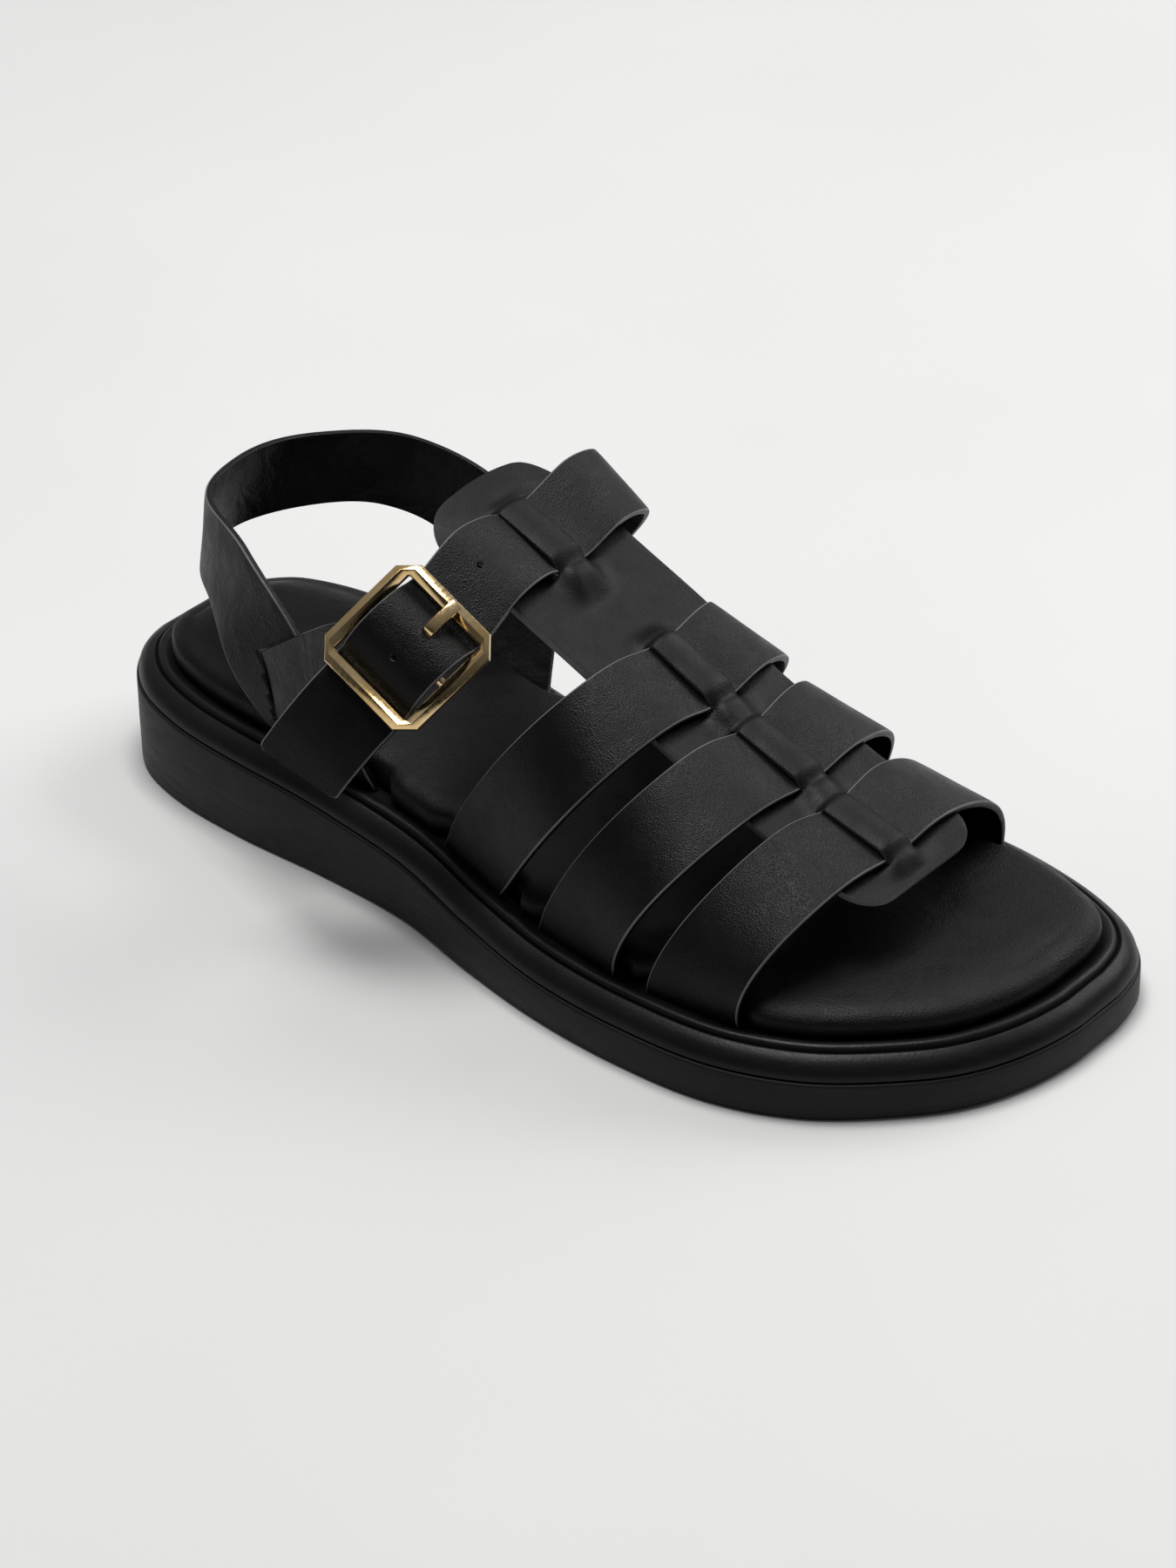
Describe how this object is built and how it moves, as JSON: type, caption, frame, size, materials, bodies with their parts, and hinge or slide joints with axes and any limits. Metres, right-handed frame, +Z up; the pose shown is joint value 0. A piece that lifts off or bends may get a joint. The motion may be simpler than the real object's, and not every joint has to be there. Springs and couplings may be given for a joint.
{
  "type": "sandal",
  "caption": "Right-foot gladiator sandal with a centre strip woven over leather straps, a heel band, a square buckle and a thick flat sole.",
  "frame": {"origin": "on the ground, under the middle of the sandal's bounding box", "axes": "+Y towards the toe, +X towards the wearer's outer side, the buckle side, and +Z up"},
  "size_m": [0.1206, 0.2632, 0.0946],
  "materials": {
    "sole_rubber": "matte",
    "welt_rubber": "satin",
    "footbed_leather": "fine grain, matte",
    "strap_leather": "fine grain, satin",
    "buckle_metal": "polished pale gold plate"
  },
  "bodies": {
    "root": {"outsole": "sole_rubber", "welt": "welt_rubber", "footbed": "footbed_leather", "upper": "strap_leather", "buckle_strap": "strap_leather", "buckle_frame": "buckle_metal", "buckle_prong": "buckle_metal"}
  },
  "joints": []
}
